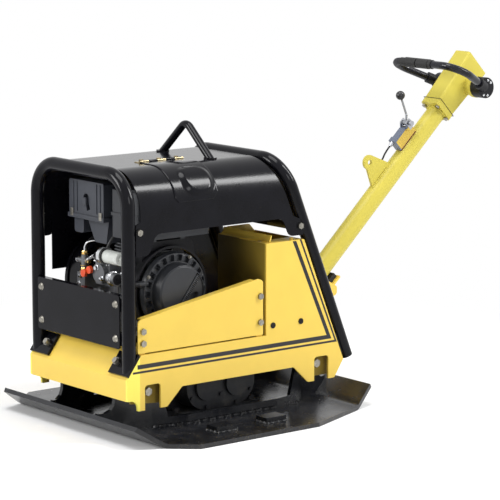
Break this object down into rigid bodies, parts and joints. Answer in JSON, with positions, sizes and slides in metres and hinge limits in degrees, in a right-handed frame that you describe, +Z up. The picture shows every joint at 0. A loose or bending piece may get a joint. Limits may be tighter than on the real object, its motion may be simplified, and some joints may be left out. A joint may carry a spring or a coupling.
{
  "type": "plate compactor",
  "caption": "Reversible vibratory plate compactor with a caged engine, a rubber-mounted deck on a lipped sole plate and a folding control handle.",
  "frame": {"origin": "centre of the sole plate's flat underside, on the ground", "axes": "+Z up, +Y towards the handle, -Y towards the front lip, X across the machine with the recoil starter on +X"},
  "size_m": [0.78, 1.4649, 0.9131],
  "materials": {
    "yellow_paint": "glossy lemon-yellow paint on welded sheet steel",
    "black_paint": "glossy black powder coat",
    "plate_black": "satin black paint on thick plate",
    "exciter_grey": "grey painted casting",
    "rotor_iron": "machined casting",
    "rubber_black": "matt black rubber",
    "zinc_steel": "bright zinc plating",
    "engine_alloy": "cast alloy, satin",
    "black_plastic": "black moulded plastic",
    "grey_plastic": "dark grey moulded plastic",
    "filter_white": "translucent white bowl",
    "tap_orange": "orange moulded plastic",
    "exhaust_steel": "heat-stained sheet steel",
    "bar_black": "satin black coated tube"
  },
  "bodies": {
    "base": {"base_plate": "plate_black", "plate_webs": "plate_black", "exciter_housing": "exciter_grey", "exciter_covers": "exciter_grey", "exciter_bearings": "zinc_steel", "rubber_buffers": "rubber_black"},
    "front_shaft": {"front_eccentric": "rotor_iron", "front_gear": "rotor_iron", "exciter_pulley": "rotor_iron"},
    "rear_shaft": {"rear_eccentric": "rotor_iron", "rear_gear": "rotor_iron"},
    "deck": {"chassis": "yellow_paint", "right_side": "yellow_paint", "left_side": "yellow_paint", "buffer_plates": "yellow_paint", "buffer_bolts": "zinc_steel", "handle_bracket": "yellow_paint", "rear_housing": "yellow_paint", "housing_plugs": "black_plastic", "right_guard": "yellow_paint", "left_guard": "yellow_paint", "deck_bolts": "zinc_steel", "front_frame": "black_paint", "rear_frame": "black_paint", "rear_panel": "black_paint", "front_panel": "black_paint", "hood": "black_paint", "hood_rails": "black_paint", "lifting_bail": "black_paint", "flap_hinge": "zinc_steel", "engine_rails": "black_paint", "crankcase": "engine_alloy", "cylinder": "engine_alloy", "rocker_cover": "black_plastic", "fan_housing": "black_plastic", "recoil_starter": "grey_plastic", "air_filter": "grey_plastic", "fuel_tank": "grey_plastic", "muffler": "exhaust_steel", "fuel_filter": "filter_white", "injection_pump": "engine_alloy", "v_belt": "rubber_black", "belt_guard": "black_paint", "handle_pin": "zinc_steel", "handle_stop": "rubber_black"},
    "engine_shaft": {"crankshaft": "zinc_steel", "clutch_pulley": "rotor_iron"},
    "flap": {"hood_flap": "black_paint"},
    "starter_grip": {"starter_grip": "black_plastic"},
    "fuel_tap": {"fuel_tap": "tap_orange"},
    "decompression_lever": {"decompression_lever": "zinc_steel"},
    "handle": {"handle_tube": "yellow_paint", "throttle_base": "engine_alloy", "throttle_cable": "rubber_black", "handle_head": "yellow_paint", "head_bolts": "zinc_steel"},
    "throttle_lever": {"throttle_lever": "zinc_steel"},
    "control_bar": {"control_bar": "bar_black", "bar_hubs": "black_plastic", "bar_sleeves": "rubber_black"}
  },
  "joints": [
    {"name": "deck_suspension", "type": "slide", "parent": "base", "child": "deck", "axis": [0, 0, 1], "range_m": [-0.006, 0.004], "stiffness_N_per_m": 1200000, "springref_m": 0.00093, "deforming": ["v_belt"]},
    {"name": "front_shaft_spin", "type": "hinge", "parent": "base", "child": "front_shaft", "pos_m": [0, -0.05, 0.09], "axis": [1, 0, 0], "continuous": true},
    {"name": "rear_shaft_spin", "type": "hinge", "parent": "base", "child": "rear_shaft", "pos_m": [0, 0.05, 0.09], "axis": [1, 0, 0], "continuous": true},
    {"name": "engine_shaft_spin", "type": "hinge", "parent": "deck", "child": "engine_shaft", "pos_m": [0, -0.155, 0.357], "axis": [1, 0, 0], "continuous": true},
    {"name": "handle_fold", "type": "hinge", "parent": "deck", "child": "handle", "pos_m": [0, 0.412, 0.288], "axis": [1, 0, 0], "range_deg": [0, 47]},
    {"name": "control_bar_swing", "type": "hinge", "parent": "handle", "child": "control_bar", "pos_m": [0, 0.99565, 0.81327], "axis": [1, 0, 0], "range_deg": [-20, 20]},
    {"name": "throttle_swing", "type": "hinge", "parent": "handle", "child": "throttle_lever", "pos_m": [0, 0.77712, 0.72001], "axis": [1, 0, 0], "range_deg": [-40, 25]},
    {"name": "flap_lift", "type": "hinge", "parent": "deck", "child": "flap", "pos_m": [0.062, -0.141, 0.6935], "axis": [0, -1, 0], "range_deg": [0, 100]},
    {"name": "starter_pull", "type": "slide", "parent": "deck", "child": "starter_grip", "axis": [0, -1, 0], "range_m": [0, 0.05], "stiffness_N_per_m": 60, "springref_m": -0.05},
    {"name": "fuel_tap_turn", "type": "hinge", "parent": "deck", "child": "fuel_tap", "pos_m": [-0.032, -0.312, 0.404], "axis": [0, 1, 0], "range_deg": [0, 90]},
    {"name": "decompression_turn", "type": "hinge", "parent": "deck", "child": "decompression_lever", "pos_m": [-0.02, -0.175, 0.5973], "axis": [0, 0, 1], "range_deg": [0, 60]}
  ],
  "couplings": [
    {"joint": "rear_shaft_spin", "follows": "front_shaft_spin", "ratio": -1},
    {"joint": "engine_shaft_spin", "follows": "front_shaft_spin", "ratio": 0.83333}
  ]
}
